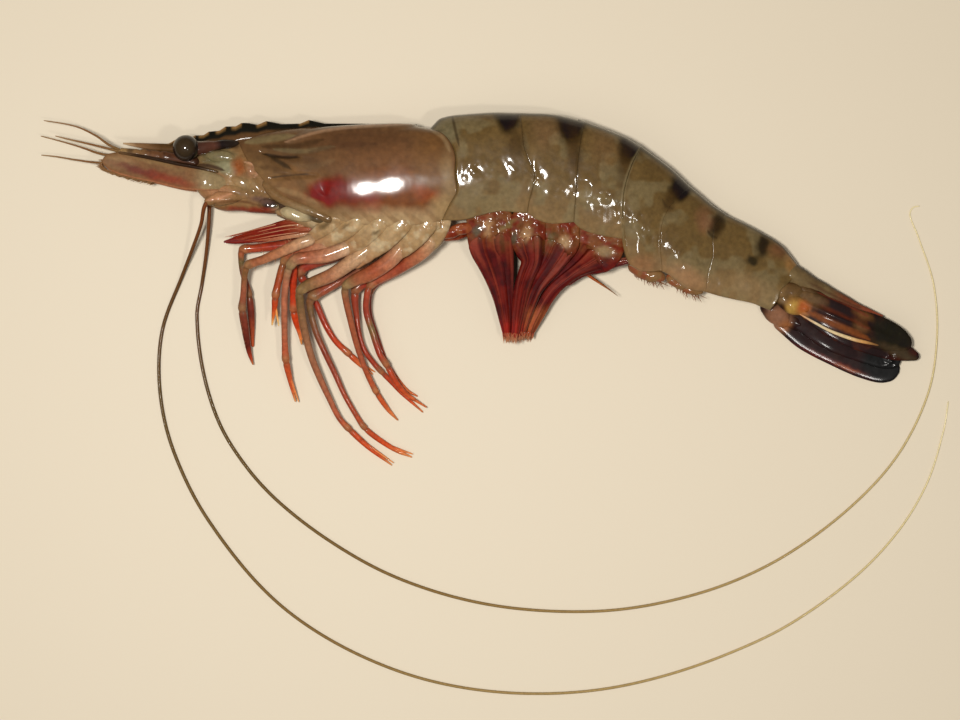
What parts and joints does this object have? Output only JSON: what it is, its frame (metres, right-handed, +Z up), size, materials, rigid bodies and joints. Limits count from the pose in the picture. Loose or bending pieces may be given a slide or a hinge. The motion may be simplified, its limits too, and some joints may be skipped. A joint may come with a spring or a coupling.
{
  "type": "raw tiger prawn",
  "caption": "Whole raw tiger prawn lying on its right side, with banded shell, bent legs, dark tail fan and two very long feelers swept round below it.",
  "frame": {"origin": "on the surface the prawn lies on, below the middle of its outline with both long feelers", "axes": "+X from the head to the tail, +Y towards the back, +Z up, out of the left side"},
  "size_m": [0.2386, 0.1524, 0.019],
  "materials": {
    "carapace_shell": "wet translucent shell, orange-brown with a red blotch",
    "head_flesh": "wet, greenish brown",
    "pale_flesh": "wet, pinkish white",
    "tail_shell": "wet translucent shell, grey-olive with dark bands",
    "tail_fan": "wet, near black with orange and ochre marks",
    "eye": "glossy, dark grey-brown",
    "antennal_scale": "wet, salmon tan with a dark red streak",
    "feeler": "satin, brown fading to pale tan",
    "leg_shell": "wet, salmon brown with orange-red ends",
    "swimmeret": "wet, dark red"
  },
  "bodies": {
    "root": {"carapace": "carapace_shell", "head": "head_flesh", "breast": "pale_flesh", "tail_segment_1": "tail_shell", "tail_segment_2": "tail_shell", "tail_segment_3": "tail_shell", "tail_segment_4": "tail_shell", "tail_segment_5": "tail_shell", "tail_segment_6": "tail_shell", "telson": "tail_fan", "uropod_left_outer": "tail_fan", "uropod_left_inner": "tail_fan", "uropod_right_inner": "tail_fan", "uropod_right_outer": "tail_fan", "eye_left": "eye", "eye_right": "eye", "antennal_scale_left": "antennal_scale", "antennal_scale_right": "antennal_scale", "antennule_left": "feeler", "antennule_right": "feeler", "antenna_left": "feeler", "antenna_right": "feeler", "maxilliped_left": "leg_shell", "maxilliped_right": "leg_shell", "maxilliped_palp": "swimmeret", "leg_1_left": "leg_shell", "leg_1_right": "leg_shell", "leg_2_left": "leg_shell", "leg_2_right": "leg_shell", "leg_3_left": "leg_shell", "leg_3_right": "leg_shell", "leg_4_left": "leg_shell", "leg_4_right": "leg_shell", "leg_5_left": "leg_shell", "leg_5_right": "leg_shell", "pleopod_1_left": "swimmeret", "pleopod_1_right": "swimmeret", "pleopod_2_left": "swimmeret", "pleopod_2_right": "swimmeret", "pleopod_3_left": "swimmeret", "pleopod_3_right": "swimmeret", "pleopod_4_left": "swimmeret", "pleopod_4_right": "swimmeret", "pleopod_5_left": "swimmeret", "pleopod_5_right": "swimmeret"}
  },
  "joints": []
}
